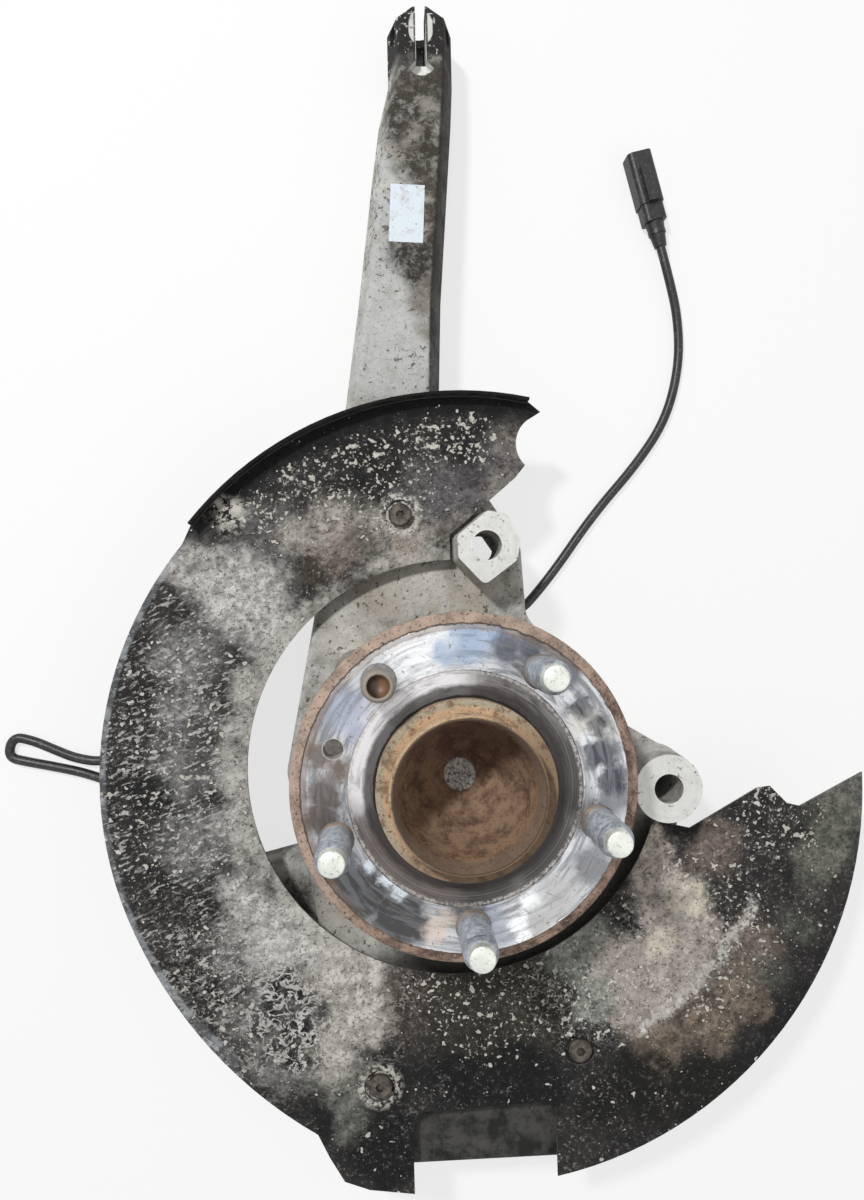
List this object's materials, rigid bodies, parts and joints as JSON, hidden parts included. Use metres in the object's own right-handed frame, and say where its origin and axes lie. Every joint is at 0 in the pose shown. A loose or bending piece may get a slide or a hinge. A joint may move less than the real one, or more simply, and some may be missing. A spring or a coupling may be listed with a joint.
{
  "type": "steering knuckle",
  "caption": "Cast steering knuckle with a long upper arm and split clamp, a turning wheel hub with studs, a C-shaped brake dust shield and a wheel speed sensor lead.",
  "frame": {"origin": "centre of the wheel bolt circle, on the wheel mounting face", "axes": "+Z outboard along the hub axis, +Y up the long arm to the upper ball joint clamp, +X to the side of the caliper lugs"},
  "size_m": [0.4212, 0.5684, 0.1357],
  "materials": {
    "cast_aluminium": "rough cast, stained with dirt",
    "shield_steel": "matt dark sheet with salt bloom",
    "hub_steel": "turned face, rusty rim and cup",
    "stud_zinc": "dull zinc",
    "bearing_steel": "ground",
    "fastener_steel": "dull and dirty",
    "cap_steel": "thin pressed sheet",
    "cage_plastic": "moulded",
    "seal_rubber": "matt",
    "cable_rubber": "satin jacket",
    "sensor_plastic": "moulded",
    "connector_plastic": "moulded",
    "pin_brass": "tinned tips",
    "label_film": "blank white sticker"
  },
  "bodies": {
    "knuckle_side": {"knuckle": "cast_aluminium", "dust_shield": "shield_steel", "shield_screw_1": "fastener_steel", "shield_screw_2": "fastener_steel", "shield_screw_3": "fastener_steel", "bearing_outer_ring": "bearing_steel", "bearing_bolt_1": "fastener_steel", "bearing_bolt_2": "fastener_steel", "bearing_bolt_3": "fastener_steel", "bearing_bolt_4": "fastener_steel", "outboard_seal": "seal_rubber", "inboard_seal": "seal_rubber", "bearing_end_cap": "cap_steel", "wheel_speed_sensor": "sensor_plastic", "sensor_screw": "fastener_steel", "sensor_cable": "cable_rubber", "connector_boot": "cable_rubber", "cable_connector": "connector_plastic", "connector_pins": "pin_brass"},
    "hub_side": {"wheel_hub": "hub_steel", "wheel_stud_1": "stud_zinc", "wheel_stud_2": "stud_zinc", "wheel_stud_3": "stud_zinc", "wheel_stud_4": "stud_zinc", "broken_wheel_stud": "stud_zinc", "bearing_inner_ring": "bearing_steel", "encoder_ring": "seal_rubber"},
    "ball_side": {"outboard_balls": "bearing_steel", "inboard_balls": "bearing_steel", "outboard_cage": "cage_plastic", "inboard_cage": "cage_plastic"}
  },
  "joints": [
    {"name": "hub_spin", "type": "hinge", "parent": "knuckle_side", "child": "hub_side", "pos_m": [0, 0, 0], "axis": [0, 0, 1], "continuous": true},
    {"name": "ball_spin", "type": "hinge", "parent": "knuckle_side", "child": "ball_side", "pos_m": [0, 0, 0], "axis": [0, 0, 1], "continuous": true}
  ],
  "couplings": [
    {"joint": "ball_spin", "follows": "hub_spin", "ratio": 0.44}
  ]
}
